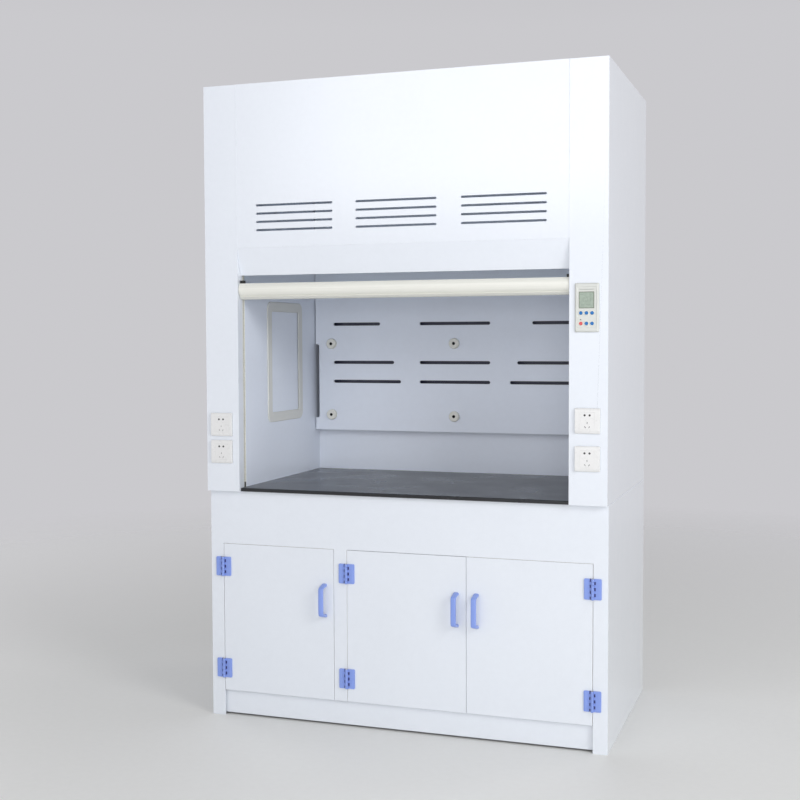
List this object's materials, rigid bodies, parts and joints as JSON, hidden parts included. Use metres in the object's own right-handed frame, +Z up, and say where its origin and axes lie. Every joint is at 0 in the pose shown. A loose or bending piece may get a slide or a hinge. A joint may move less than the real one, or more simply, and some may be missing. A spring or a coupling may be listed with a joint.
{
  "type": "fume hood",
  "caption": "Walk-up laboratory fume hood in white polypropylene: counterbalanced vertical sash, slotted baffle, controller, wall outlets and a base cabinet with hinged doors.",
  "frame": {"origin": "on the floor, under the middle of the hood's bounding box", "axes": "+Z up, -Y towards the user in front of the sash, +X to that user's right"},
  "size_m": [1.5, 0.865, 2.415],
  "materials": {
    "pp_shell": "gloss",
    "pp_liner": "gloss",
    "pp_blue": "satin",
    "worktop_dark": "satin",
    "cream_pvc": "satin",
    "black_rubber": "matte",
    "clear_glass": "gloss",
    "outlet_white": "gloss",
    "screen_grey": "satin",
    "button_blue": "satin",
    "button_red": "satin",
    "steel": "satin",
    "painted_steel": "satin",
    "lamp_white": "satin",
    "tube_glass": "satin",
    "nylon": "matte",
    "socket_white": "satin"
  },
  "bodies": {
    "hood": {"base_side_left": "pp_shell", "base_side_right": "pp_shell", "base_back": "pp_shell", "base_floor": "pp_shell", "base_deck": "pp_shell", "base_divider": "pp_shell", "plinth": "pp_shell", "face_frame": "pp_shell", "hinge_frame_leaves": "pp_blue", "hinge_pins": "steel", "worktop": "worktop_dark", "hood_side_left": "pp_shell", "hood_side_right": "pp_shell", "hood_back": "pp_shell", "hood_top": "pp_shell", "exhaust_collar": "pp_shell", "pillar_left": "pp_shell", "pillar_right": "pp_shell", "fascia": "pp_shell", "header": "pp_shell", "liner_left": "pp_liner", "liner_right": "pp_liner", "access_gaskets": "cream_pvc", "access_panels": "pp_liner", "back_liner": "pp_liner", "baffle": "pp_liner", "rod_sockets": "socket_white", "chamber_ceiling": "pp_liner", "lamp_housing": "lamp_white", "lamp_tube": "tube_glass", "lamp_glass": "clear_glass", "sash_tracks": "cream_pvc", "track_stops": "black_rubber", "controller_housing": "cream_pvc", "controller_screen": "screen_grey", "outlet_plates": "outlet_white", "outlet_sockets": "outlet_white", "lift_ropes": "steel"},
    "sash": {"sash_glass": "clear_glass", "sash_bar": "cream_pvc", "sash_frame": "cream_pvc", "bar_bumpers": "black_rubber"},
    "counterweights": {"counterweights": "painted_steel"},
    "pulleys": {"pulley_shaft": "steel", "sash_pulleys": "nylon"},
    "door_left": {"door_left": "pp_shell", "door_left_hinge_leaves": "pp_blue", "door_left_handle": "pp_blue"},
    "door_middle": {"door_middle": "pp_shell", "door_middle_hinge_leaves": "pp_blue", "door_middle_handle": "pp_blue"},
    "door_right": {"door_right": "pp_shell", "door_right_hinge_leaves": "pp_blue", "door_right_handle": "pp_blue"},
    "lamp_button": {"lamp_button": "button_blue"},
    "fan_button": {"fan_button": "button_blue"},
    "socket_button": {"socket_button": "button_blue"},
    "power_button": {"power_button": "button_red"},
    "down_button": {"down_button": "button_blue"},
    "up_button": {"up_button": "button_blue"}
  },
  "joints": [
    {"name": "sash_slide", "type": "slide", "parent": "hood", "child": "sash", "axis": [0, 0, 1], "range_m": [-0.68, 0.017], "deforming": ["lift_ropes"]},
    {"name": "counterweight_slide", "type": "slide", "parent": "hood", "child": "counterweights", "axis": [0, 0, 1], "range_m": [-0.017, 0.68]},
    {"name": "pulley_turn", "type": "hinge", "parent": "hood", "child": "pulleys", "pos_m": [0, -0.329, 2.285], "axis": [1, 0, 0], "range_deg": [-24.36, 974.04]},
    {"name": "door_left_hinge", "type": "hinge", "parent": "hood", "child": "door_left", "pos_m": [-0.698, -0.4005, 0.375], "axis": [0, 0, -1], "range_deg": [0, 110]},
    {"name": "door_middle_hinge", "type": "hinge", "parent": "hood", "child": "door_middle", "pos_m": [-0.2013, -0.4005, 0.375], "axis": [0, 0, -1], "range_deg": [0, 110]},
    {"name": "door_right_hinge", "type": "hinge", "parent": "hood", "child": "door_right", "pos_m": [0.698, -0.4005, 0.375], "axis": [0, 0, 1], "range_deg": [0, 110]},
    {"name": "lamp_press", "type": "slide", "parent": "hood", "child": "lamp_button", "axis": [0, 1, 0], "range_m": [0, 0.0012], "stiffness_N_per_m": 300},
    {"name": "fan_press", "type": "slide", "parent": "hood", "child": "fan_button", "axis": [0, 1, 0], "range_m": [0, 0.0012], "stiffness_N_per_m": 300},
    {"name": "socket_press", "type": "slide", "parent": "hood", "child": "socket_button", "axis": [0, 1, 0], "range_m": [0, 0.0012], "stiffness_N_per_m": 300},
    {"name": "power_press", "type": "slide", "parent": "hood", "child": "power_button", "axis": [0, 1, 0], "range_m": [0, 0.0012], "stiffness_N_per_m": 300},
    {"name": "down_press", "type": "slide", "parent": "hood", "child": "down_button", "axis": [0, 1, 0], "range_m": [0, 0.0012], "stiffness_N_per_m": 300},
    {"name": "up_press", "type": "slide", "parent": "hood", "child": "up_button", "axis": [0, 1, 0], "range_m": [0, 0.0012], "stiffness_N_per_m": 300}
  ],
  "couplings": [
    {"joint": "counterweight_slide", "follows": "sash_slide", "ratio": -1},
    {"joint": "pulley_turn", "follows": "sash_slide", "rad_per_m": -25}
  ]
}
